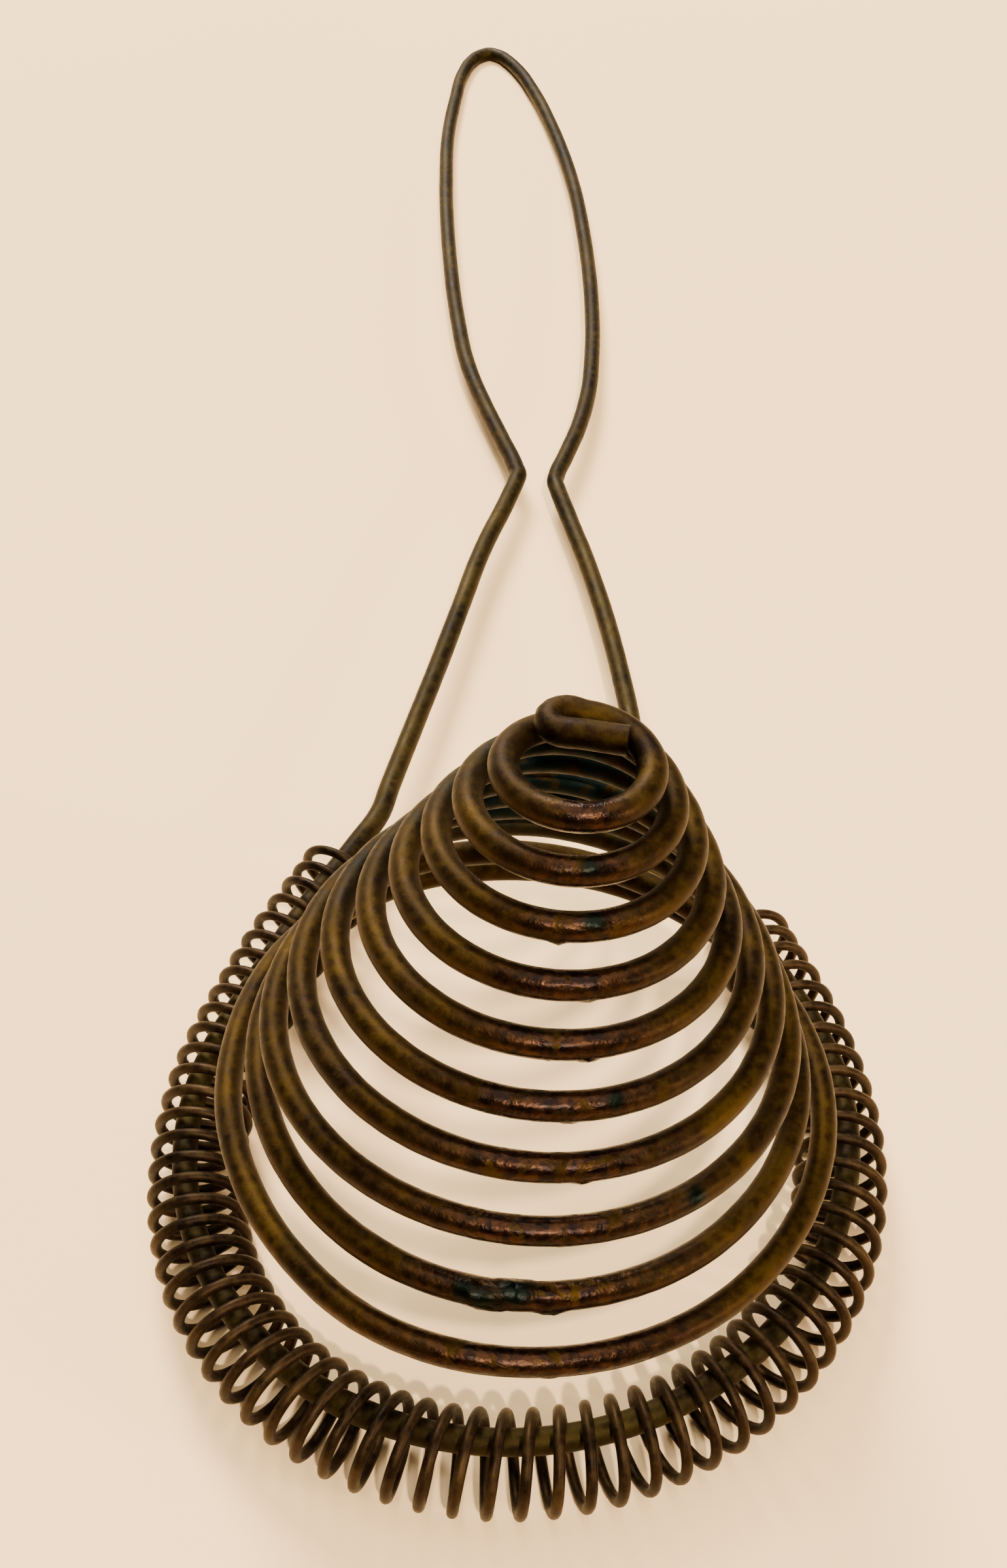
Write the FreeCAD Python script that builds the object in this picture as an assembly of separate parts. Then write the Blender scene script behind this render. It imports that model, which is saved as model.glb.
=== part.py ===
import FreeCAD
import Part
import math
import os

# Spring whisk bent from round steel wire, lying flat: a long handle loop, a teardrop rim, a
# conical spring standing on the rim, and a thin wire coil threaded loosely round the rim.
# Millimetres. +Z up from the table, +Y along the handle towards its tip. X and Y are first
# measured from the middle of the rim's round front, and the finished shapes are then moved so
# that the origin is under the middle of the whole whisk.

V = FreeCAD.Vector

WIRE = 2.4            # gauge of the frame and cone wire
COIL_WIRE = 1.05      # gauge of the rim coil's wire
RIM_R = 32.3          # rim centreline, round part
RIM_Z = 6.25          # height of the rim's centreline
LEFT_TANGENT = 156.0  # angle at which the left flare leaves the round part
RIGHT_TANGENT = 21.5  # angle at which the right flare leaves it
TIP = (0.05, 252.45)    # end of the handle loop
TIP_Z = WIRE / 2      # the handle's tip rests on the table
LEG_Z = 5.3           # height of the legs where they meet the flares
LEG_Y = 47.0
SHIFT = V(0, -107.75, 0)

# bends of the handle as (x, y): the left leg from its flare, the right leg from its shoulder,
# both to the tip
LEFT_BENDS = [(-21.6, 30.6), (-17.4, 38.2), (-15.1, 42.6), (-13.9, 47.5), (-11.4, 57.3),
              (-8.7, 67.8), (-5.9, 79.3), (-2.9, 91.5), (1.1, 104.2),
              (2.05, 107.5), (2.4, 109.1), (2.1, 110.8), (0.1, 118.5), (-1.9, 125.9),
              (-4.6, 138.0), (-6.4, 154.0), (-7.6, 173.0), (-8.25, 197.0), (-7.9, 217.6),
              (-6.8, 230.3), (-5.1, 243.5), (-3.9, 247.9), (-1.85, 251.4)]
RIGHT_BENDS = [(15.6, 48.5), (14.5, 62.6), (13.3, 74.1), (11.5, 86.4), (9.0, 99.4), (7.8, 105.6),
               (7.55, 107.2), (7.85, 108.9), (9.3, 113.5), (11.5, 120.8), (13.2, 128.8),
               (14.7, 143.0), (15.3, 157.0), (15.2, 176.0), (14.0, 198.6), (12.7, 210.1),
               (10.9, 222.0), (8.6, 233.8), (5.4, 245.1), (3.95, 248.4), (1.85, 251.5)]

# cone spring: a spiral about a leaning axis
AXIS = V(0.122, 0.046, 0.991).normalize()
TURN_NORMAL = V(0.134, 0.069, 0.989).normalize()
AXIS_FOOT = V(-1.1, -6.3, 0)
SPIRAL_PHASE = -94.9  # direction of the spiral at a whole number of turns
TURN_R = [27.6, 23.95, 22.05, 19.7, 17.1, 14.45, 12.15, 9.95, 7.85, 5.5, 4.4]
TURN_Z = [14.8, 18.5, 24.9, 30.0, 34.3, 38.45, 42.65, 46.75, 50.55, 53.85, 56.0]
FOOT = [(23.7, 27.8, 1.85), (13.5, 30.0, 2.6), (0.0, 30.3, 3.7), (-12.4, 26.4, 6.3),
        (-21.3, 16.1, 10.3), (-25.4, 3.1, 14.0), (-25.2, -9.2, 16.2), (-19.9, -21.8, 17.2),
        (-11.6, -29.9, 17.5)]
# places where the spiral is bent outwards: turns, reach in turns, amount
BULGES = [(1.36, 0.22, 1.1), (1.80, 0.18, -1.1), (2.33, 0.2, 0.7), (6.38, 0.2, -0.6)]
CUT_GAP = 0.6         # gap between the end faces of two neighbouring turns
LAST_TURN = 9         # the last node also holds the top turn and the hairpin
APEX_S = 10.5         # turns: the spiral ends here and the hairpin begins
HAIRPIN = [((4.4, 1.4, 54.4), (-1.0, -0.05, 0.08)), ((3.0, 0.0, 54.6), (0.0, -1.0, 0.0)),
           ((4.4, -1.4, 54.7), (1.0, -0.12, 0.0)), ((8.9, -2.3, 54.6), (1.0, -0.2, 0.0))]

# rim coil
COIL_OUT_R = 4.65
# the line the coil is wound along: loops counted from the left end, direction, distance
# from the middle
COIL_PATH = [(-0.9, -243.7, 40.7), (1.85, -235.0, 36.95), (6.8, -215.0, 32.5),
             (11.35, -195.0, 31.2), (15.75, -175.0, 31.3), (21.6, -150.0, 32.4),
             (28.5, -120.0, 33.35), (35.25, -90.0, 33.55), (42.1, -60.0, 33.4),
             (48.8, -30.0, 32.5), (54.1, -5.0, 31.45), (58.2, 15.0, 31.25),
             (62.3, 35.0, 32.85), (66.0, 48.5, 36.0)]
COIL_START = -0.5
COIL_END = 64.35


def frame_section(origin, normal, x_dir, radius):
    """Circle edge of the wire's section, with its seam on x_dir."""
    y_dir = normal.cross(x_dir)
    m = FreeCAD.Matrix(x_dir.x, y_dir.x, normal.x, origin.x,
                       x_dir.y, y_dir.y, normal.y, origin.y,
                       x_dir.z, y_dir.z, normal.z, origin.z,
                       0, 0, 0, 1)
    edge = Part.makeCircle(radius)
    edge.Placement = FreeCAD.Placement(m)
    return edge


def biarc_joint(p1, t1, p2, t2):
    """Meeting point of the two arcs that join two points with given directions."""
    v = p2 - p1
    a = 2.0 - 2.0 * t1.dot(t2)
    b = 2.0 * v.dot(t1 + t2)
    c = -v.dot(v)
    if abs(a) < 1e-9:
        d = -c / b
    else:
        d = (-b + math.sqrt(b * b - 4.0 * a * c)) / (2.0 * a)
    return (p1 + p2 + (t1 - t2) * d) * 0.5


def rotated(vector, axis, angle):
    return FreeCAD.Rotation(axis, math.degrees(angle)).multVec(vector)


def wire_solid(points, tangents, gauge, closed=False):
    """Round wire along a chain of tangent arcs. Returns the solid and the centreline length."""
    radius = gauge / 2.0
    stations = [(points[0], tangents[0])]
    count = len(points)
    for i in range(count if closed else count - 1):
        j = (i + 1) % count
        p1, t1 = points[i], tangents[i]
        p2, t2 = points[j], tangents[j]
        stations.append((biarc_joint(p1, t1, p2, t2), None))
        stations.append((p2, t2))
    normal = tangents[0]
    helper = V(0, 0, 1) if abs(normal.z) < 0.9 else V(1, 0, 0)
    x_dir = helper.cross(normal).normalize()
    faces = []
    length = 0.0
    position = points[0]
    if not closed:
        faces.append(Part.Face(Part.Wire(frame_section(position, normal, x_dir, radius))))
    for target, _ in stations[1:]:
        chord = target - position
        side = normal.cross(chord)
        section = frame_section(position, normal, x_dir, radius)
        if side.Length < 1e-5 * chord.Length:
            faces.append(section.extrude(chord).Faces[0])
            length += chord.Length
            position = target
            continue
        turn_axis = side.normalize()
        inward = turn_axis.cross(normal)
        bend = chord.Length ** 2 / (2.0 * chord.dot(inward))
        if bend < radius * 1.02:
            raise ValueError("bend of %.2f mm is too tight for the wire" % bend)
        angle = 2.0 * math.atan2(chord.dot(inward), chord.dot(normal))
        centre = position + inward * bend
        faces.append(section.revolve(centre, turn_axis, math.degrees(angle)).Faces[0])
        length += bend * angle
        normal = rotated(normal, turn_axis, angle)
        x_dir = rotated(x_dir, turn_axis, angle)
        position = target
    if not closed:
        faces.append(Part.Face(Part.Wire(frame_section(position, normal, x_dir, radius))))
    shell = Part.Compound(faces)
    shell.sewShape(1e-4)
    solid = Part.Solid(shell.Shells[0] if shell.Shells else Part.Shell(shell.Faces))
    if solid.Volume < 0:
        solid.reverse()
    return solid, length


def smooth_tangents(points, first=None, last=None, closed=False):
    """Directions at the points of a smoothly bent wire."""
    out = []
    count = len(points)
    for i, p in enumerate(points):
        before = points[i - 1] if i > 0 or closed else None
        after = points[(i + 1) % count] if i < count - 1 or closed else None
        if before is None or after is None:
            out.append(None)
            continue
        a = p - before
        b = after - p
        out.append((a * (b.Length / a.Length) + b * (a.Length / b.Length)).normalize())
    if not closed:
        out[0] = first if first else reflected(points[1] - points[0], out[1])
        out[-1] = last if last else reflected(points[-1] - points[-2], out[-2])
    return out


def reflected(chord, tangent):
    """Direction at one end of an arc with this chord, from the direction at its other end."""
    c = V(chord)
    c.normalize()
    return (c * (2.0 * c.dot(tangent)) - tangent).normalize()


def handle_height(y):
    return TIP_Z + (LEG_Z - TIP_Z) * (TIP[1] - y) / (TIP[1] - LEG_Y)


def around(angle, radius, z):
    a = math.radians(angle)
    return V(radius * math.cos(a), radius * math.sin(a), z)


def heading(angle):
    a = math.radians(angle)
    return V(-math.sin(a), math.cos(a), 0)


def spline_value(knots, s):
    """Smooth value of a per-turn dimension at s turns, with the first entry at one turn."""
    n = len(knots)
    k = min(max(int(math.floor(s)) - 1, 0), n - 2)
    u = s - 1 - k
    lo = knots[k - 1] if k > 0 else 2 * knots[0] - knots[1]
    hi = knots[k + 2] if k + 2 < n else 2 * knots[-1] - knots[-2]
    a, b = knots[k], knots[k + 1]
    m0 = (b - lo) / 2.0
    m1 = (hi - a) / 2.0
    return ((2 * u ** 3 - 3 * u ** 2 + 1) * a + (u ** 3 - 2 * u ** 2 + u) * m0
            + (-2 * u ** 3 + 3 * u ** 2) * b + (u ** 3 - u ** 2) * m1)


def bulge(s):
    out = 0.0
    for middle, reach, amount in BULGES:
        if abs(s - middle) < reach:
            out += amount * math.cos(math.pi / 2 * (s - middle) / reach) ** 2
    return out


def cone_point(s):
    """Centreline of the cone spring after s turns, measured up from the front."""
    e1 = V(1, 0, 0)
    e1 = (e1 - TURN_NORMAL * e1.dot(TURN_NORMAL)).normalize()
    e2 = TURN_NORMAL.cross(e1)
    a = math.radians(SPIRAL_PHASE + 360.0 * s)
    r = spline_value(TURN_R, s) + bulge(s)
    z = spline_value(TURN_Z, s)
    rise = V(0, 0, RIM_Z)
    return AXIS_FOOT + rise + e1 * (r * math.cos(a)) + e2 * (r * math.sin(a)) + AXIS * z


def cone_tangent(s):
    return (cone_point(s + 0.002) - cone_point(s - 0.002)).normalize()


def save(shape, node):
    moved = shape.copy()
    moved.translate(SHIFT)
    moved.exportStep("parts/" + node + ".step")


os.makedirs("parts", exist_ok=True)

# frame: the round rim, two flares, two legs and the handle loop in one closed run
rim_points = []
rim_tangents = []
sweep = 360.0 - (LEFT_TANGENT - RIGHT_TANGENT)
RIM_STEPS = 8
for i in range(RIM_STEPS + 1):
    angle = LEFT_TANGENT + sweep * i / RIM_STEPS
    rim_points.append(around(angle, RIM_R, RIM_Z))
    rim_tangents.append(heading(angle))
loop = [V(x, y, handle_height(y)) for x, y in RIGHT_BENDS]
loop.append(V(TIP[0], TIP[1], TIP_Z))
loop += [V(x, y, handle_height(y)) for x, y in reversed(LEFT_BENDS)]
chain = rim_points + loop
tangents = smooth_tangents(chain, closed=True)
for i, t in enumerate(rim_tangents):
    tangents[i] = t
frame, frame_length = wire_solid(chain, tangents, WIRE, closed=True)

# cone spring: the fixed foot joins the right flare, then one node per turn
foot_path = [V(x, y, RIM_Z + z) for x, y, z in FOOT] + [cone_point(1.0), cone_point(1.125)]
foot_tangents = smooth_tangents(foot_path)
foot_tangents[9] = cone_tangent(1.0)
cut_point = foot_path[6] - foot_tangents[6] * CUT_GAP
foot, foot_length = wire_solid(foot_path[:6] + [cut_point], foot_tangents[:7], WIRE)
whole = frame.fuse(foot)
print("frame", whole.isValid(), len(whole.Solids), whole.Volume, frame.Volume + foot.Volume)
save(whole.Solids[0], "frame_wire")

# cone spring: one node per turn, the last one with the hairpin and bar that close the top
TURN_STEPS = 8
for k in range(1, LAST_TURN + 1):
    gap = CUT_GAP / (2 * math.pi * spline_value(TURN_R, k))
    start = k - 0.25
    end = k + 0.75 - gap if k < LAST_TURN else APEX_S
    count = int(round((end - start) * TURN_STEPS))
    if k == 1:
        points = foot_path[6:9]
        headings = foot_tangents[6:9]
        start = 1.0
        count = 6
    else:
        points = []
        headings = []
    stations = [start + (end - start) * i / count for i in range(count + 1)]
    points = points + [cone_point(s) for s in stations]
    headings = headings + [cone_tangent(s) for s in stations]
    if k == LAST_TURN:
        points += [V(*p) + V(0, 0, RIM_Z) for p, t in HAIRPIN]
        headings += [V(*t).normalize() for p, t in HAIRPIN]
    turn, turn_length = wire_solid(points, headings, WIRE)
    print("turn", k, turn.isValid(), turn.Volume, math.pi * (WIRE / 2) ** 2 * turn_length)
    save(turn, "cone_turn_%02d" % k)


def coil_path_value(loops, column):
    """Direction (column 1) or distance from the middle (column 2) after this many loops."""
    n = len(COIL_PATH)
    k = 0
    while k < n - 2 and loops > COIL_PATH[k + 1][0]:
        k += 1
    slopes = []
    for i in (k, k + 1):
        before = COIL_PATH[max(i - 1, 0)]
        after = COIL_PATH[min(i + 1, n - 1)]
        slopes.append((after[column] - before[column]) / (after[0] - before[0]))
    step = COIL_PATH[k + 1][0] - COIL_PATH[k][0]
    u = (loops - COIL_PATH[k][0]) / step
    a, b = COIL_PATH[k][column], COIL_PATH[k + 1][column]
    return ((2 * u ** 3 - 3 * u ** 2 + 1) * a + (u ** 3 - 2 * u ** 2 + u) * slopes[0] * step
            + (-2 * u ** 3 + 3 * u ** 2) * b + (u ** 3 - u ** 2) * slopes[1] * step)


def rim_coil_base(loops):
    return around(coil_path_value(loops, 1), coil_path_value(loops, 2), COIL_OUT_R)


def rim_coil_point(loops):
    along = (rim_coil_base(loops + 0.01) - rim_coil_base(loops - 0.01)).normalize()
    out = V(along.y, -along.x, 0)
    a = 2 * math.pi * loops
    r = COIL_OUT_R - COIL_WIRE / 2
    return rim_coil_base(loops) + out * (r * math.cos(a)) + V(0, 0, r * math.sin(a))


def rim_coil_tangent(loops):
    return (rim_coil_point(loops + 0.001) - rim_coil_point(loops - 0.001)).normalize()


LOOP_STEPS = 6
coil_steps = int((COIL_END - COIL_START) * LOOP_STEPS)
stations = [COIL_START + i / LOOP_STEPS for i in range(coil_steps + 1)]
coil_points = [rim_coil_point(at) for at in stations]
coil_tangents = [rim_coil_tangent(at) for at in stations]
coil, coil_wire_length = wire_solid(coil_points, coil_tangents, COIL_WIRE)
print("coil", coil.isValid(), coil.Volume, math.pi * (COIL_WIRE / 2) ** 2 * coil_wire_length)
save(coil, "rim_coil")
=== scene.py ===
import math

import bpy
import numpy as np
from mathutils import Matrix, Vector, noise


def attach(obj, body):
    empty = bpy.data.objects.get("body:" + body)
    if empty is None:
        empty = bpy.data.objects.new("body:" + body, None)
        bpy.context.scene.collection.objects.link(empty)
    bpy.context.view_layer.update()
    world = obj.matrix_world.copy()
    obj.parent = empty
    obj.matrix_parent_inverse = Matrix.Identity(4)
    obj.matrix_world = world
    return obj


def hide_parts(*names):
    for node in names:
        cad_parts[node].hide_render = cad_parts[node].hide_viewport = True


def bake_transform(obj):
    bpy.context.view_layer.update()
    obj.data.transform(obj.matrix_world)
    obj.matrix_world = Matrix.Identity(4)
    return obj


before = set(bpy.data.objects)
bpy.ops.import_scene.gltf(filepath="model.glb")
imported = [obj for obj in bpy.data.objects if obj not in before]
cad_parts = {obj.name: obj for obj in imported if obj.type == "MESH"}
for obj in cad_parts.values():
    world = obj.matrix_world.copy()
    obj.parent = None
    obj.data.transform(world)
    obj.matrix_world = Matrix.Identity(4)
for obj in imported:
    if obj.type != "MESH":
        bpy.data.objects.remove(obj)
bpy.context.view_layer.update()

# ---------------------------------------------------------------- dimensions, millimetres
# X and Y are measured from the middle of the rim's round front. MID_Y moves them to the row frame.
MM = 0.001
MID_Y = 107.75
WIRE = 2.4
COIL_WIRE = 1.05
RIM_R = 32.3
RIM_Z = 6.25
# the angles, in degrees, at which the rim's circle runs into the left and the right flare
LEFT_TANGENT = 156.0
RIGHT_TANGENT = 21.5
RIM_STEPS = 8
TIP = (0.05, 252.45)
TIP_Z = WIRE / 2
LEG_Z = 5.3
LEG_Y = 47.0
# X and Y of the bends of the flares, legs and handle loop, from the rim to the tip
LEFT_BENDS = [(-21.6, 30.6), (-17.4, 38.2), (-15.1, 42.6), (-13.9, 47.5), (-11.4, 57.3),
              (-8.7, 67.8), (-5.9, 79.3), (-2.9, 91.5), (1.1, 104.2),
              (2.05, 107.5), (2.4, 109.1), (2.1, 110.8), (0.1, 118.5), (-1.9, 125.9),
              (-4.6, 138.0), (-6.4, 154.0), (-7.6, 173.0), (-8.25, 197.0), (-7.9, 217.6),
              (-6.8, 230.3), (-5.1, 243.5), (-3.9, 247.9), (-1.85, 251.4)]
RIGHT_BENDS = [(15.6, 48.5), (14.5, 62.6), (13.3, 74.1), (11.5, 86.4), (9.0, 99.4), (7.8, 105.6),
               (7.55, 107.2), (7.85, 108.9), (9.3, 113.5), (11.5, 120.8), (13.2, 128.8),
               (14.7, 143.0), (15.3, 157.0), (15.2, 176.0), (14.0, 198.6), (12.7, 210.1),
               (10.9, 222.0), (8.6, 233.8), (5.4, 245.1), (3.95, 248.4), (1.85, 251.5)]
# the line along which the cone leans and is pressed, and the line square to its turns
AXIS = np.array([0.122, 0.046, 0.991])
AXIS = AXIS / np.linalg.norm(AXIS)
TURN_NORMAL = np.array([0.134, 0.069, 0.989])
TURN_NORMAL = TURN_NORMAL / np.linalg.norm(TURN_NORMAL)
AXIS_FOOT = np.array([-1.1, -6.3, 0.0])
SPIRAL_PHASE = -94.9
# radius of the spiral and height above the rim, at each whole turn
TURN_R = [27.6, 23.95, 22.05, 19.7, 17.1, 14.45, 12.15, 9.95, 7.85, 5.5, 4.4]
TURN_Z = [14.8, 18.5, 24.9, 30.0, 34.3, 38.45, 42.65, 46.75, 50.55, 53.85, 56.0]
# the cone's foot, from the right flare over the back of the rim and up to the first turn
FOOT = [(23.7, 27.8, 1.85), (13.5, 30.0, 2.6), (0.0, 30.3, 3.7), (-12.4, 26.4, 6.3),
        (-21.3, 16.1, 10.3), (-25.4, 3.1, 14.0), (-25.2, -9.2, 16.2), (-19.9, -21.8, 17.2),
        (-11.6, -29.9, 17.5)]
# uneven places of the spiral: turns, reach in turns, extra radius
BULGES = [(1.36, 0.22, 1.1), (1.80, 0.18, -1.1), (2.33, 0.2, 0.7), (6.38, 0.2, -0.6)]
LAST_TURN = 9
TOP_TURN = 10
HALF_STEPS = 4
# the hairpin and the bar that close the cone: points above the rim and their directions
HAIRPIN = [((4.4, 1.4, 54.4), (-1.0, -0.05, 0.08)), ((3.0, 0.0, 54.6), (0.0, -1.0, 0.0)),
           ((4.4, -1.4, 54.7), (1.0, -0.12, 0.0)), ((8.9, -2.3, 54.6), (1.0, -0.2, 0.0))]
COIL_OUT_R = 4.65
# the rim coil's path: loops, angle round the rim, distance from the rim's middle
COIL_PATH = [(-0.9, -243.7, 40.7), (1.85, -235.0, 36.95), (6.8, -215.0, 32.5),
             (11.35, -195.0, 31.2), (15.75, -175.0, 31.3), (21.6, -150.0, 32.4),
             (28.5, -120.0, 33.35), (35.25, -90.0, 33.55), (42.1, -60.0, 33.4),
             (48.8, -30.0, 32.5), (54.1, -5.0, 31.45), (58.2, 15.0, 31.25),
             (62.3, 35.0, 32.85), (66.0, 48.5, 36.0)]
COIL_START = -0.5
COIL_END = 64.35

# ---------------------------------------------------------------- how finely the wires are meshed
FINE = 0.45
LOOP_SAMPLES = 44
WIRE_SIDES = 28
COIL_SIDES = 12


# ---------------------------------------------------------------- bent wire
def unit(v):
    return v / np.linalg.norm(v)


def biarc_joint(p1, t1, p2, t2):
    """The point where two tangent arcs from p1 along t1 to p2 along t2 meet."""
    v = p2 - p1
    a = 2.0 - 2.0 * (t1 @ t2)
    b = 2.0 * (v @ (t1 + t2))
    c = -(v @ v)
    d = -c / b if abs(a) < 1e-9 else (-b + math.sqrt(b * b - 4 * a * c)) / (2 * a)
    return (p1 + p2 + (t1 - t2) * d) / 2


def arc(p, t, q, step):
    """Points and directions along the arc that leaves p in direction t and ends at q."""
    chord = q - p
    side = np.cross(t, chord)
    size = np.linalg.norm(chord)
    if np.linalg.norm(side) < 1e-5 * size:
        n = max(1, int(round(size / step)))
        u = np.arange(1, n + 1)[:, None] / n
        return p + chord * u, np.repeat(t[None], n, 0)
    inward = np.cross(unit(side), t)
    bend = size ** 2 / (2 * (chord @ inward))
    angle = 2 * math.atan2(chord @ inward, chord @ t)
    n = max(2, int(round(bend * angle / step)))
    a = (np.arange(1, n + 1) / n * angle)[:, None]
    return (p + inward * bend * (1 - np.cos(a)) + t * bend * np.sin(a),
            t * np.cos(a) + inward * np.sin(a))


def bent_line(points, tangents, step, closed=False):
    """Points and directions along a chain of tangent arcs, two between each pair of points."""
    pts = [np.array(points[0])[None]]
    tans = [np.array(tangents[0])[None]]
    n = len(points)
    for i in range(n if closed else n - 1):
        p1, t1 = np.array(points[i]), np.array(tangents[i])
        p2, t2 = np.array(points[(i + 1) % n]), np.array(tangents[(i + 1) % n])
        j = biarc_joint(p1, t1, p2, t2)
        a, b = arc(p1, t1, j, step)
        pts.append(a)
        tans.append(b)
        a, b = arc(j, b[-1], p2, step)
        pts.append(a)
        tans.append(b)
    return np.concatenate(pts), np.concatenate(tans)


def reflected(chord, tangent):
    c = unit(chord)
    return unit(c * (2 * (c @ tangent)) - tangent)


def smooth_tangents(points, closed=False):
    out = []
    n = len(points)
    for i in range(n):
        if not closed and i in (0, n - 1):
            out.append(None)
            continue
        a = points[i] - points[i - 1]
        b = points[(i + 1) % n] - points[i]
        la, lb = np.linalg.norm(a), np.linalg.norm(b)
        out.append(unit(a * (lb / la) + b * (la / lb)))
    if not closed:
        out[0] = reflected(points[1] - points[0], out[1])
        out[-1] = reflected(points[-1] - points[-2], out[-2])
    return out


def hermite(a, b, slope_a, slope_b, u):
    """A smooth curve from a to b, at u from 0 to 1, with these slopes at its ends."""
    return ((2 * u ** 3 - 3 * u ** 2 + 1) * a + (u ** 3 - 2 * u ** 2 + u) * slope_a
            + (-2 * u ** 3 + 3 * u ** 2) * b + (u ** 3 - u ** 2) * slope_b)


def knot_value(knots, turns):
    """The value at a number of turns. The first knot belongs to turn 1."""
    n = len(knots)
    k = min(max(int(math.floor(turns)) - 1, 0), n - 2)
    lo = knots[k - 1] if k > 0 else 2 * knots[0] - knots[1]
    hi = knots[k + 2] if k + 2 < n else 2 * knots[-1] - knots[-2]
    a, b = knots[k], knots[k + 1]
    return hermite(a, b, (b - lo) / 2, (hi - a) / 2, turns - 1 - k)


SIDE_1 = unit(np.array([1.0, 0, 0]) - TURN_NORMAL * TURN_NORMAL[0])
SIDE_2 = np.cross(TURN_NORMAL, SIDE_1)


def bulge(turns):
    out = 0.0
    for middle, reach, amount in BULGES:
        if abs(turns - middle) < reach:
            out += amount * math.cos(math.pi / 2 * (turns - middle) / reach) ** 2
    return out


def cone_point(turns):
    a = math.radians(SPIRAL_PHASE + 360.0 * turns)
    r, z = knot_value(TURN_R, turns) + bulge(turns), knot_value(TURN_Z, turns)
    up = np.array([0, 0, RIM_Z])
    return AXIS_FOOT + up + SIDE_1 * (r * math.cos(a)) + SIDE_2 * (r * math.sin(a)) + AXIS * z


def cone_tangent(turns):
    return unit(cone_point(turns + 0.002) - cone_point(turns - 0.002))


def around(angle, radius, z):
    a = math.radians(angle)
    return np.array([radius * math.cos(a), radius * math.sin(a), z])


def heading(angle):
    a = math.radians(angle)
    return np.array([-math.sin(a), math.cos(a), 0.0])


def wire_mesh(name, points, tangents, gauge, sides, shape, closed=False):
    """A swept round wire in millimetres, made into an object in metres in the row frame.

    The rings at open ends are marked sharp, so that the shading runs on from piece to piece.
    """
    n = len(points)
    normal = np.cross([0.0, 0.0, 1.0], tangents[0])
    if np.linalg.norm(normal) < 0.2:
        normal = np.cross([1.0, 0.0, 0.0], tangents[0])
    normal = unit(normal)
    normals = [normal]
    for i in range(1, n):
        normal = normal - tangents[i] * (normal @ tangents[i])
        normal = unit(normal)
        normals.append(normal)
    normals = np.array(normals)
    if closed:
        back = normals[-1] - tangents[0] * (normals[-1] @ tangents[0])
        twist = math.atan2(back @ np.cross(tangents[0], normals[0]), back @ normals[0])
        f = np.linspace(0, -twist, n)[:, None]
        binormals = np.cross(tangents, normals)
        normals = normals * np.cos(f) + binormals * np.sin(f)
        points, tangents, normals = points[:-1], tangents[:-1], normals[:-1]
        n -= 1
    binormals = np.cross(tangents, normals)
    phi = np.arange(sides) * 2 * math.pi / sides
    out = (normals[:, None] * np.cos(phi)[None, :, None]
           + binormals[:, None] * np.sin(phi)[None, :, None])
    co = points[:, None] + out * (gauge / 2)
    co = co.reshape(-1, 3)
    out = out.reshape(-1, 3)
    co = co + out * shape(co)[:, None]
    rings = n if closed else n - 1
    i = np.arange(rings)[:, None]
    j = np.arange(sides)[None]
    a = i * sides + j
    b = i * sides + (j + 1) % sides
    c = ((i + 1) % n) * sides + (j + 1) % sides
    d = ((i + 1) % n) * sides + j
    quads = np.stack([a, b, c, d], -1).reshape(-1, 4)
    faces = [tuple(q) for q in quads.tolist()]
    if not closed:
        faces.append(tuple(range(sides))[::-1])
        faces.append(tuple(range((n - 1) * sides, n * sides)))
    world = co.copy()
    world[:, 1] -= MID_Y
    mesh = bpy.data.meshes.new(name)
    mesh.from_pydata((world / 1000).tolist(), [], faces)
    mesh.polygons.foreach_set("use_smooth", [True] * len(quads)
                              + [False] * (len(faces) - len(quads)))
    if not closed:
        pairs = np.empty(len(mesh.edges) * 2, np.int32)
        mesh.edges.foreach_get("vertices", pairs)
        pairs = pairs.reshape(-1, 2)
        at_end = ((pairs < sides).all(1) | (pairs >= (n - 1) * sides).all(1))
        mesh.edges.foreach_set("use_edge_sharp", at_end)
    rest = mesh.attributes.new("rest", "FLOAT_VECTOR", "POINT")
    rest.data.foreach_set("vector", co.ravel().astype(np.float32))
    mesh.validate()
    mesh.update()
    obj = bpy.data.objects.new(name, mesh)
    bpy.context.scene.collection.objects.link(obj)
    return obj


def fine_noise(co, scale, seed):
    return np.array([noise.noise(Vector((p[0] * scale + seed, p[1] * scale, p[2] * scale)))
                     for p in co.tolist()])


# crusts left on the cone's wire: turns, angle round the wire from its top, reach, height
CRUSTS = [(2.00, 10, 2.0, 0.55), (1.985, 70, 1.8, 0.5), (2.02, 120, 1.4, 0.4), (1.975, 30, 1.3, 0.3),
          (4.03, 150, 0.9, 0.5), (5.02, 160, 0.8, 0.5), (6.03, 150, 0.9, 0.6), (7.03, 165, 0.8, 0.5),
          (7.99, 150, 0.8, 0.5), (6.0, 170, 0.7, 0.4), (3.02, 160, 0.8, 0.4), (1.02, 150, 0.9, 0.4),
          (8.03, 20, 1.2, 0.25), (9.02, 30, 1.0, 0.2), (5.05, 30, 1.0, 0.2), (3.1, 40, 1.2, 0.2)]


def crust_centre(turns, angle):
    along = cone_tangent(turns)
    outward = unit(np.cross(along, [0.0, 0.0, 1.0]))
    up = np.cross(outward, along)
    a = math.radians(angle)
    return cone_point(turns) + (up * math.cos(a) + outward * math.sin(a)) * WIRE / 2


CRUST_SPOTS = [(crust_centre(turns, angle), reach, height)
               for turns, angle, reach, height in CRUSTS]


def crust_cover(co, centre, reach):
    return np.clip(1 - np.linalg.norm(co - centre, axis=1) / reach, 0, 1)


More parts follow.
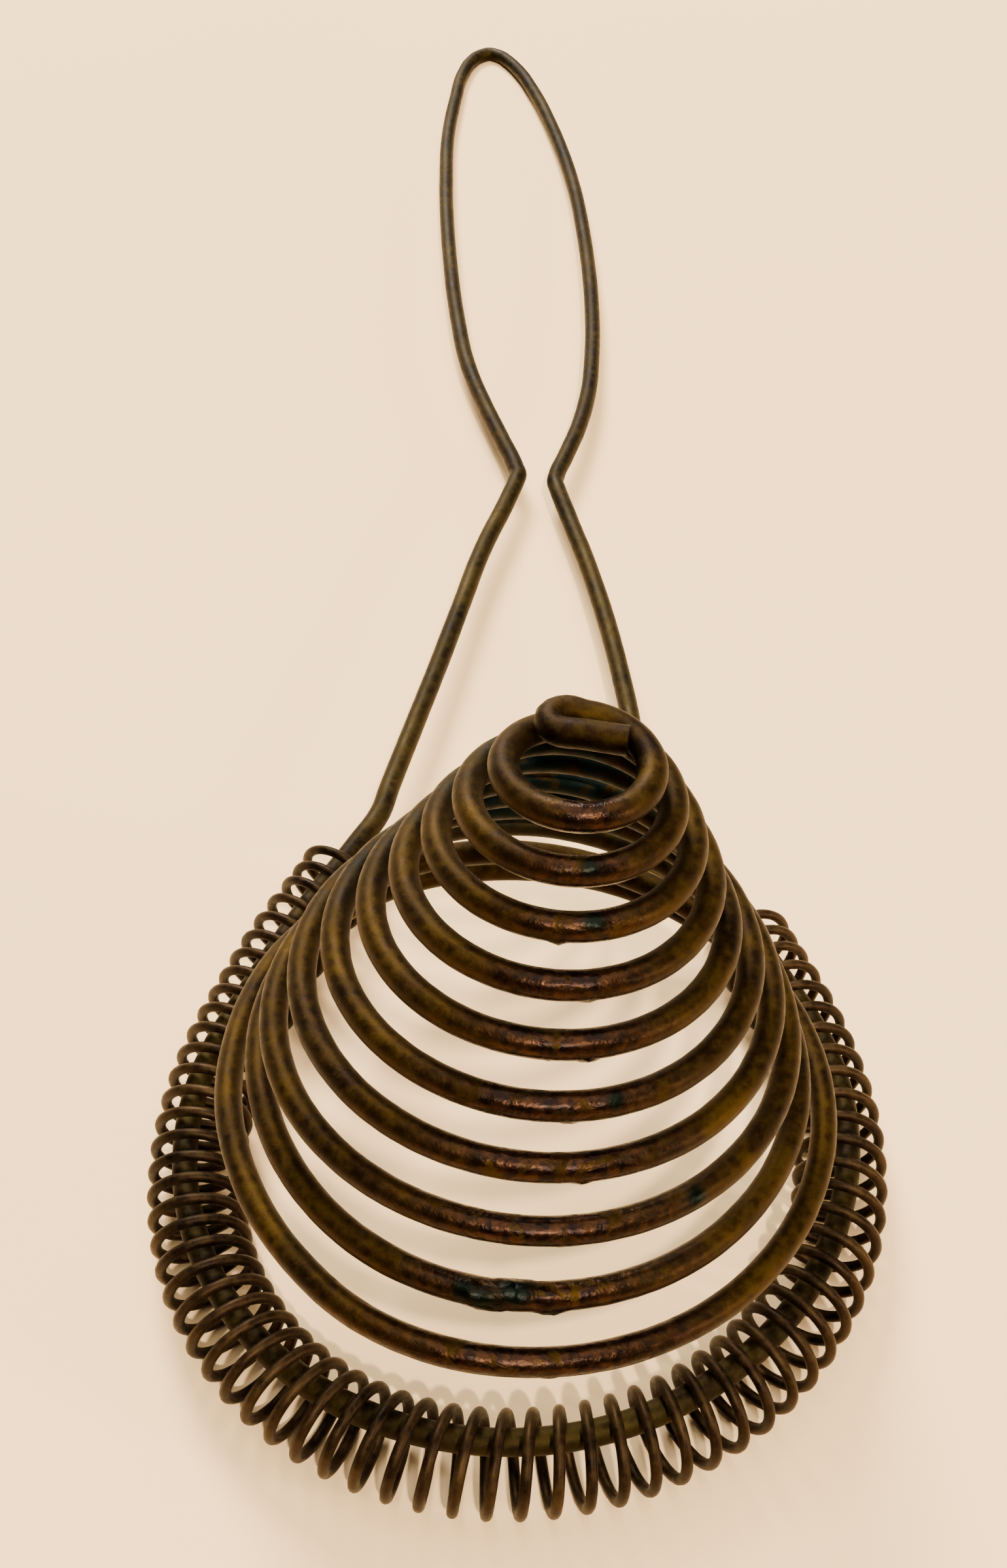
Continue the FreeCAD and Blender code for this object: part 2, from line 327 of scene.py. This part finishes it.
def wire_skin(amount):
    """Small dents and thickness changes of old wire."""
    def shape(co):
        return (fine_noise(co, 0.16, 3.0) * 0.5 + fine_noise(co, 0.9, 11.0) * 0.35) * amount
    return shape


def crusted_skin(co):
    """The same on the cone's wire, with the crusts sitting on it."""
    push = wire_skin(0.06)(co)
    for centre, reach, height in CRUST_SPOTS:
        near = crust_cover(co, centre, reach)
        if near.max() > 0:
            push = push + height * near ** 0.7 * (0.6 + 0.7 * fine_noise(co, 1.6, 5.0))
    return push


# ---------------------------------------------------------------- centrelines
def handle_height(y):
    return TIP_Z + (LEG_Z - TIP_Z) * (TIP[1] - y) / (TIP[1] - LEG_Y)


sweep = 360.0 - (LEFT_TANGENT - RIGHT_TANGENT)
rim_angles = [LEFT_TANGENT + sweep * i / RIM_STEPS for i in range(RIM_STEPS + 1)]
loop = [np.array([x, y, handle_height(y)]) for x, y in RIGHT_BENDS]
loop.append(np.array([TIP[0], TIP[1], TIP_Z]))
loop += [np.array([x, y, handle_height(y)]) for x, y in reversed(LEFT_BENDS)]
chain = [around(a, RIM_R, RIM_Z) for a in rim_angles] + loop
chain_tangents = smooth_tangents(chain, closed=True)
for i, a in enumerate(rim_angles):
    chain_tangents[i] = heading(a)

foot_path = [np.array([x, y, RIM_Z + z]) for x, y, z in FOOT] + [cone_point(1.0), cone_point(1.125)]
foot_tangents = smooth_tangents(foot_path)
# the part of the foot up to RISE_START is fixed to the frame, and the rest rises to the first turn
RISE_START = 2
RISE_END = len(FOOT)
foot_tangents[RISE_END] = cone_tangent(1.0)


# ---------------------------------------------------------------- pieces
def to_frame(p):
    return (p[0] * MM, (p[1] - MID_Y) * MM, p[2] * MM)


def cone_wire(name, points, headings):
    """One piece of the cone's wire, with the two ends of its middle line in the row frame."""
    line, tans = bent_line(points, headings, FINE)
    piece = wire_mesh(name, line, tans, WIRE, WIRE_SIDES, crusted_skin)
    cone_pieces.append(piece)
    return piece, to_frame(line[0]), to_frame(line[-1])


line, tans = bent_line(chain, chain_tangents, FINE, closed=True)
frame_piece = wire_mesh("handle_and_rim_wire", line, tans, WIRE, WIRE_SIDES, wire_skin(0.05),
                        closed=True)
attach(frame_piece, "frame")
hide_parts("frame_wire")

cone_pieces = []
piece, start, end = cone_wire("cone_foot_wire", foot_path[:RISE_START + 1],
                              foot_tangents[:RISE_START + 1])
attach(piece, "frame")
piece, start, end = cone_wire("cone_foot_rise_wire", foot_path[RISE_START:RISE_END + 1],
                              foot_tangents[RISE_START:RISE_END + 1])
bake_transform(piece)

# the right half of each turn rides on its body; the left half is left without a body, except on the
# last turn, where it rides on that turn's body
for k in range(1, TOP_TURN + 1):
    body_turn = min(k, LAST_TURN)
    body = "turn_%02d" % body_turn
    right = [k + 0.5 * i / HALF_STEPS for i in range(HALF_STEPS + 1)]
    points = [cone_point(turns) for turns in right]
    headings = [cone_tangent(turns) for turns in right]
    if k == TOP_TURN:
        points += [np.array(p) + np.array([0, 0, RIM_Z]) for p, t in HAIRPIN]
        headings += [unit(np.array(t)) for p, t in HAIRPIN]
    piece, start, end = cone_wire("cone_wire_%02d_right" % k, points, headings)
    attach(piece, body)
    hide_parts("cone_turn_%02d" % body_turn)
    if k == TOP_TURN:
        break
    left = [k + 0.5 + 0.5 * i / HALF_STEPS for i in range(HALF_STEPS + 1)]
    piece, start, end = cone_wire("cone_wire_%02d_left" % k, [cone_point(turns) for turns in left],
                                  [cone_tangent(turns) for turns in left])
    if k < LAST_TURN:
        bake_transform(piece)
    else:
        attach(piece, body)


def coil_path_value(loops, column):
    """The coil path's angle (column 1) or distance (column 2) at a number of loops."""
    n = len(COIL_PATH)
    k = 0
    while k < n - 2 and loops > COIL_PATH[k + 1][0]:
        k += 1
    slopes = []
    for i in (k, k + 1):
        before = COIL_PATH[max(i - 1, 0)]
        after = COIL_PATH[min(i + 1, n - 1)]
        slopes.append((after[column] - before[column]) / (after[0] - before[0]))
    step = COIL_PATH[k + 1][0] - COIL_PATH[k][0]
    u = (loops - COIL_PATH[k][0]) / step
    return hermite(COIL_PATH[k][column], COIL_PATH[k + 1][column],
                   slopes[0] * step, slopes[1] * step, u)


def rim_coil_base(loops):
    return around(coil_path_value(loops, 1), coil_path_value(loops, 2), COIL_OUT_R)


def rim_coil_point(loops):
    along = unit(rim_coil_base(loops + 0.01) - rim_coil_base(loops - 0.01))
    out = np.array([along[1], -along[0], 0])
    a = 2 * math.pi * loops
    r = COIL_OUT_R - COIL_WIRE / 2
    return rim_coil_base(loops) + out * (r * math.cos(a)) + np.array([0, 0, r * math.sin(a)])


def rim_coil_tangent(loops):
    return unit(rim_coil_point(loops + 0.001) - rim_coil_point(loops - 0.001))


steps = np.linspace(COIL_START, COIL_END, int((COIL_END - COIL_START) * LOOP_SAMPLES) + 1)
line = np.array([rim_coil_point(at) for at in steps])
tans = np.array([rim_coil_tangent(at) for at in steps])
coil_piece = wire_mesh("rim_coil_wire", line, tans, COIL_WIRE, COIL_SIDES, wire_skin(0.03))
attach(coil_piece, "rim_coil")
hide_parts("rim_coil")


# ---------------------------------------------------------------- materials
class Nodes:
    """Short calls for building a material's node tree."""

    def __init__(self, name):
        self.material = bpy.data.materials.new(name)
        self.material.use_nodes = True
        self.tree = self.material.node_tree
        self.shader = self.tree.nodes["Principled BSDF"]
        self.coord = self.tree.nodes.new("ShaderNodeAttribute")
        self.coord.attribute_name = "rest"

    def link(self, a, b):
        self.tree.links.new(a, b)

    def noise(self, scale, detail=4.0, rough=0.55, distortion=0.0, vector=None):
        n = self.tree.nodes.new("ShaderNodeTexNoise")
        n.inputs["Scale"].default_value = scale
        n.inputs["Detail"].default_value = detail
        n.inputs["Roughness"].default_value = rough
        n.inputs["Distortion"].default_value = distortion
        self.link(vector or self.coord.outputs["Vector"], n.inputs["Vector"])
        return n.outputs["Fac"]

    def ramp(self, source, stops):
        n = self.tree.nodes.new("ShaderNodeValToRGB")
        while len(n.color_ramp.elements) < len(stops):
            n.color_ramp.elements.new(0.5)
        for e, (at, colour) in zip(n.color_ramp.elements, stops):
            e.position = at
            e.color = (*colour, 1)
        self.link(source, n.inputs["Fac"])
        return n.outputs["Color"]

    def fade(self, source, low, high):
        n = self.tree.nodes.new("ShaderNodeMapRange")
        n.interpolation_type = "SMOOTHSTEP"
        n.inputs["From Min"].default_value = low
        n.inputs["From Max"].default_value = high
        self.link(source, n.inputs["Value"])
        return n.outputs["Result"]

    def remap(self, source, low, high, to_low, to_high):
        n = self.tree.nodes.new("ShaderNodeMapRange")
        n.inputs["From Min"].default_value = low
        n.inputs["From Max"].default_value = high
        n.inputs["To Min"].default_value = to_low
        n.inputs["To Max"].default_value = to_high
        self.link(source, n.inputs["Value"])
        return n.outputs["Result"]

    def math(self, operation, a, b):
        n = self.tree.nodes.new("ShaderNodeMath")
        n.operation = operation
        n.use_clamp = operation in ("MULTIPLY", "ADD", "SUBTRACT")
        for value, socket in ((a, n.inputs[0]), (b, n.inputs[1])):
            if isinstance(value, (int, float)):
                socket.default_value = value
            else:
                self.link(value, socket)
        return n.outputs[0]

    def mix(self, factor, a, b):
        n = self.tree.nodes.new("ShaderNodeMix")
        n.data_type = "RGBA"
        self.link(factor, n.inputs["Factor"])
        for value, socket in ((a, n.inputs[6]), (b, n.inputs[7])):
            if isinstance(value, tuple):
                socket.default_value = (*value, 1)
            else:
                self.link(value, socket)
        return n.outputs[2]

    def mix_value(self, factor, a, b):
        n = self.tree.nodes.new("ShaderNodeMix")
        n.data_type = "FLOAT"
        self.link(factor, n.inputs["Factor"])
        for value, socket in ((a, n.inputs[2]), (b, n.inputs[3])):
            if isinstance(value, (int, float)):
                socket.default_value = value
            else:
                self.link(value, socket)
        return n.outputs[0]

    def attribute(self, name):
        n = self.tree.nodes.new("ShaderNodeAttribute")
        n.attribute_name = name
        return n.outputs["Fac"]

    def facing_up(self):
        g = self.tree.nodes.new("ShaderNodeNewGeometry")
        s = self.tree.nodes.new("ShaderNodeSeparateXYZ")
        self.link(g.outputs["Normal"], s.inputs[0])
        return s.outputs["Z"]

    def bump(self, height, strength, distance, normal=None):
        n = self.tree.nodes.new("ShaderNodeBump")
        n.inputs["Strength"].default_value = strength
        n.inputs["Distance"].default_value = distance
        self.link(height, n.inputs["Height"])
        if normal is not None:
            self.link(normal, n.inputs["Normal"])
        return n.outputs["Normal"]


DUST = (0.040, 0.025, 0.006)
# painted reflection: a dark teal colour standing in for the cool light's sheen on the inner back of
# the upper turns, darker than the wire
PAINTED_TEAL_REFLECTION = (0.0022, 0.0055, 0.0042)
DARK_TAR = (0.0050, 0.0018, 0.0008)
AMBER_TAR = (0.024, 0.0085, 0.0020)
CRUST_COLOUR = (0.0012, 0.0026, 0.0010)


def old_wire(name, deep, brown, amber, rough, metal, stains=False):
    """Old bare wire: brown tarnish in soft patches, a fine grain, and dust on its top.

    With stains, it also has glossy tar and crusts, and a dark teal reflection painted on the inner
    back of the upper turns, following the values set on the points.
    """
    m = Nodes(name)
    patches = m.noise(0.12, 4, 0.55, 0.5)
    mottles = m.noise(0.9, 6, 0.62)
    grain = m.noise(6.0, 5, 0.7)
    tone = m.math("ADD", m.math("MULTIPLY", patches, 0.6), m.math("MULTIPLY", mottles, 0.4))
    colour = m.ramp(tone, [(0.38, deep), (0.5, brown), (0.63, amber)])
    colour = m.mix(m.math("MULTIPLY", m.fade(grain, 0.5, 0.75), 0.55), colour, deep)
    roughness = m.remap(mottles, 0.3, 0.7, rough - 0.08, rough + 0.12)
    settled = m.math("MULTIPLY", m.fade(m.facing_up(), 0.3, 1.0),
                     m.fade(m.noise(0.9, 6, 0.7), 0.42, 0.68))
    settled = m.math("MULTIPLY", settled, 0.3)
    colour = m.mix(settled, colour, DUST)
    roughness = m.mix_value(settled, roughness, 0.8)
    normal = m.bump(grain, 0.4, 0.00004, m.bump(mottles, 0.5, 0.0001))
    m.shader.inputs["Metallic"].default_value = metal
    m.shader.inputs["Specular IOR Level"].default_value = 0.13
    if stains:
        # painted reflection: the inner back of the upper turns is painted dark teal, as the sheen of
        # a cool light
        painted_teal_back = m.math("MULTIPLY", m.attribute("painted_teal_back"),
                        m.fade(m.noise(0.5, 4, 0.6), 0.34, 0.52))
        colour = m.mix(painted_teal_back, colour, PAINTED_TEAL_REFLECTION)
        gloss = m.math("MULTIPLY", m.attribute("stain"),
                       m.fade(m.noise(0.4, 5, 0.6, 0.8), 0.36, 0.50))
        tar = m.ramp(m.noise(1.0, 5, 0.6, 0.5), [(0.42, DARK_TAR), (0.60, AMBER_TAR)])
        colour = m.mix(gloss, colour, tar)
        roughness = m.mix_value(gloss, roughness, m.remap(grain, 0.35, 0.65, 0.11, 0.26))
        m.link(m.mix_value(gloss, metal, 0.7), m.shader.inputs["Metallic"])
        grime = m.attribute("grime")
        colour = m.mix(grime, colour, CRUST_COLOUR)
        roughness = m.mix_value(grime, roughness, 0.28)
        normal = m.bump(m.math("MULTIPLY", gloss, m.noise(0.9, 3, 0.5)), 0.14, 0.0005, normal)
    m.link(colour, m.shader.inputs["Base Color"])
    m.link(roughness, m.shader.inputs["Roughness"])
    m.link(normal, m.shader.inputs["Normal"])
    return m.material


frame_material = old_wire("old_frame_wire", (0.005, 0.0026, 0.0004), (0.014, 0.0085, 0.0013),
                          (0.030, 0.019, 0.003), rough=0.55, metal=0.8)
cone_material = old_wire("old_cone_wire", (0.006, 0.0023, 0.0001), (0.016, 0.0074, 0.0002),
                         (0.036, 0.0180, 0.0004), rough=0.52, metal=0.88, stains=True)
coil_material = old_wire("old_coil_wire", (0.006, 0.0028, 0.0009), (0.019, 0.0095, 0.0032),
                         (0.040, 0.022, 0.007), rough=0.46, metal=0.8)


# angles round the cone, in degrees, and heights along it, in millimetres
STAIN_MIDDLE = -92
STAIN_REACH = 44
# where the dark teal reflection is painted: a band of angles round the back and a span of heights
TEAL_BACK_MIDDLE = 95
TEAL_BACK_REACH = 85
TEAL_BACK_LOW = 22
TEAL_BACK_HIGH = 53


def soft_band(angle, middle, reach):
    return np.clip(1.3 * (1 - np.abs(angle - middle) / reach), 0, 1)


def paint_points(obj):
    """How strongly each point is stained (fronts of the turns), crusted, or painted with a dark teal
    reflection (inner backs of the upper turns).
    """
    mesh = obj.data
    co = np.empty(len(mesh.vertices) * 3, np.float32)
    mesh.attributes["rest"].data.foreach_get("vector", co)
    co = co.reshape(-1, 3)
    rel = co - (AXIS_FOOT + np.array([0, 0, RIM_Z]))
    height = rel @ AXIS
    rel = rel - np.outer(height, AXIS)
    angle = np.degrees(np.arctan2(rel[:, 1], rel[:, 0]))
    grime = np.zeros(len(co))
    for centre, reach, _ in CRUST_SPOTS:
        grime = np.maximum(grime, np.clip(1.8 * crust_cover(co, centre, reach), 0, 1))
    stain = soft_band(angle, STAIN_MIDDLE, STAIN_REACH)
    # painted reflection: the dark teal band on the inner back of the upper turns
    painted_teal_back = soft_band(angle, TEAL_BACK_MIDDLE, TEAL_BACK_REACH)
    painted_teal_back = painted_teal_back * np.clip((height - TEAL_BACK_LOW) / 10, 0, 1)
    painted_teal_back = painted_teal_back * np.clip((TEAL_BACK_HIGH - height) / 2, 0, 1)
    for name, value in (("stain", stain), ("grime", grime), ("painted_teal_back", painted_teal_back)):
        attribute = mesh.attributes.new(name, "FLOAT", "POINT")
        attribute.data.foreach_set("value", value.astype(np.float32))


for piece in cone_pieces:
    paint_points(piece)
    piece.data.materials.append(cone_material)
frame_piece.data.materials.append(frame_material)
coil_piece.data.materials.append(coil_material)

# ---------------------------------------------------------------- floor, light, camera
FLOOR_SIZE = 6
FLOOR_DARK = (0.77, 0.50, 0.225)
FLOOR_LIGHT = (0.81, 0.54, 0.255)
bpy.ops.mesh.primitive_plane_add(size=FLOOR_SIZE, location=(0, 0, 0))
floor = bpy.context.object
floor.name = "floor"
cloth = Nodes("plain_floor")
place = cloth.tree.nodes.new("ShaderNodeTexCoord")
clouds = cloth.noise(3.0, 3, 0.5, 0, place.outputs["Object"])
cloth.link(cloth.ramp(clouds, [(0.3, FLOOR_DARK), (0.7, FLOOR_LIGHT)]),
           cloth.shader.inputs["Base Color"])
cloth.shader.inputs["Roughness"].default_value = 0.95
floor.data.materials.append(cloth.material)

world = bpy.data.worlds.new("studio")
bpy.context.scene.world = world
world.use_nodes = True
world.node_tree.nodes["Background"].inputs["Color"].default_value = (1.0, 0.92, 0.83, 1)
world.node_tree.nodes["Background"].inputs["Strength"].default_value = 0.15


# the lights point at the head
HEAD = (0.0, -0.105, 0.03)


def area_light(name, location, size, power, colour):
    data = bpy.data.lights.new(name, "AREA")
    data.shape = "DISK"
    data.size = size
    data.energy = power
    data.color = colour
    obj = bpy.data.objects.new(name, data)
    bpy.context.scene.collection.objects.link(obj)
    obj.location = location
    obj.rotation_euler = (Vector(HEAD) - Vector(location)).to_track_quat("-Z", "Y").to_euler()


area_light("key", (1.10, -0.60, 0.36), 0.16, 16, (1.0, 0.84, 0.68))
area_light("back", (-0.22, 0.85, 0.85), 0.45, 46, (1.0, 0.97, 0.93))
area_light("top", (0.15, 0.0, 1.45), 1.60, 36, (1.0, 0.93, 0.83))
area_light("glint", (0.16, -0.80, 0.95), 0.05, 24, (1.0, 0.88, 0.76))

# the camera looks down on the head from just in front of it
CAMERA_AT = Vector((-0.0002, (-95.8 - MID_Y) * MM, 0.1535))
LOOK = (0.0997, 0.9950)
PITCH = math.radians(46.74)
ROLL = 0.0454
SENSOR = 36
LENS = SENSOR * 1.1187656
SHIFT_RIGHT = -0.0801501
SHIFT_UP = 0.0142202
forward = Vector((LOOK[0] * math.cos(PITCH), LOOK[1] * math.cos(PITCH), -math.sin(PITCH)))
forward = forward.normalized()
level_right = Vector((LOOK[1], -LOOK[0], 0)).normalized()
level_up = level_right.cross(forward)
cam_right = level_right * math.cos(ROLL) + level_up * math.sin(ROLL)
cam_up = level_up * math.cos(ROLL) - level_right * math.sin(ROLL)
cam_data = bpy.data.cameras.new("camera")
cam_data.sensor_width = SENSOR
cam_data.lens = LENS
cam_data.shift_x = SHIFT_RIGHT
cam_data.shift_y = SHIFT_UP
cam_data.clip_start = 0.01
camera = bpy.data.objects.new("camera", cam_data)
bpy.context.scene.collection.objects.link(camera)
camera.matrix_world = Matrix(((cam_right.x, cam_up.x, -forward.x, CAMERA_AT.x),
                              (cam_right.y, cam_up.y, -forward.y, CAMERA_AT.y),
                              (cam_right.z, cam_up.z, -forward.z, CAMERA_AT.z),
                              (0, 0, 0, 1)))
bpy.context.scene.camera = camera
